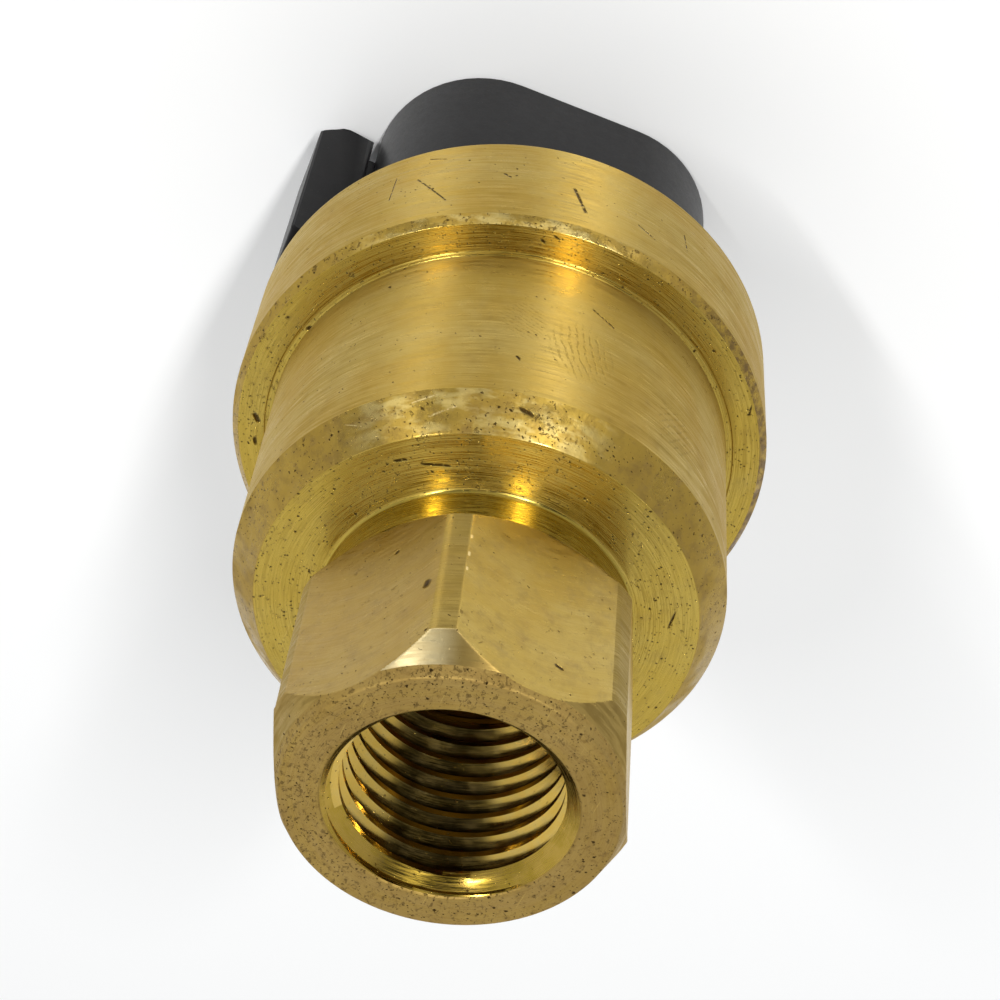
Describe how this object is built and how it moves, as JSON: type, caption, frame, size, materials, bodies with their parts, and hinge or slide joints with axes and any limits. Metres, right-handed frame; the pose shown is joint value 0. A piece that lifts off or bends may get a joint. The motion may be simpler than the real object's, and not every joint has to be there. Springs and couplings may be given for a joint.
{
  "type": "pressure switch",
  "caption": "Turned brass pressure switch with a female threaded hexagon port and a black sealed plastic receptacle with a latch tab.",
  "frame": {"origin": "on the turning axis, in the plane of the receptacle's rim", "axes": "+Z along the turning axis from the receptacle to the port; +X towards the latch tab; -Y is the normal of the receptacle's flat side opposite its third corner"},
  "size_m": [0.0356, 0.0356, 0.0634],
  "materials": {
    "body_brass": "fine turned, unplated",
    "inner_brass": "turned",
    "stainless": "turned",
    "spring_steel": "drawn",
    "seal_rubber": "moulded",
    "connector_plastic": "moulded, satin",
    "carrier_plastic": "moulded",
    "terminal_tin": "tin plated",
    "blade_bronze": "rolled",
    "contact_silver": "polished",
    "pin_ceramic": "ground",
    "potting_epoxy": "poured"
  },
  "bodies": {
    "housing": {"brass_body": "body_brass", "diaphragm_seal": "seal_rubber", "diaphragm": "spring_steel", "diaphragm_retainer": "stainless", "spring_housing": "inner_brass", "adjusting_nut": "inner_brass", "range_spring": "spring_steel", "contact_carrier": "carrier_plastic", "terminal_common": "terminal_tin", "terminal_no": "terminal_tin", "terminal_nc": "terminal_tin", "contact_no": "contact_silver", "contact_nc": "contact_silver", "support_washer": "stainless", "housing_seal": "seal_rubber", "connector_housing": "connector_plastic", "terminal_potting": "potting_epoxy"},
    "plunger": {"piston": "stainless", "actuator_pin": "pin_ceramic"},
    "blade": {"moving_blade": "blade_bronze", "blade_rivet": "inner_brass", "moving_contact": "contact_silver"}
  },
  "joints": [
    {"name": "plunger_slide", "type": "slide", "parent": "housing", "child": "plunger", "axis": [0, 0, -1], "range_m": [0, 0.0006], "stiffness_N_per_m": 2000, "springref_m": -0.002, "deforming": ["range_spring"]},
    {"name": "blade_hinge", "type": "hinge", "parent": "housing", "child": "blade", "pos_m": [0, 0.009, 0.0303], "axis": [1, 0, 0], "range_deg": [0, 3.9]}
  ],
  "couplings": [
    {"joint": "blade_hinge", "follows": "plunger_slide", "rad_per_m": 111.1}
  ]
}
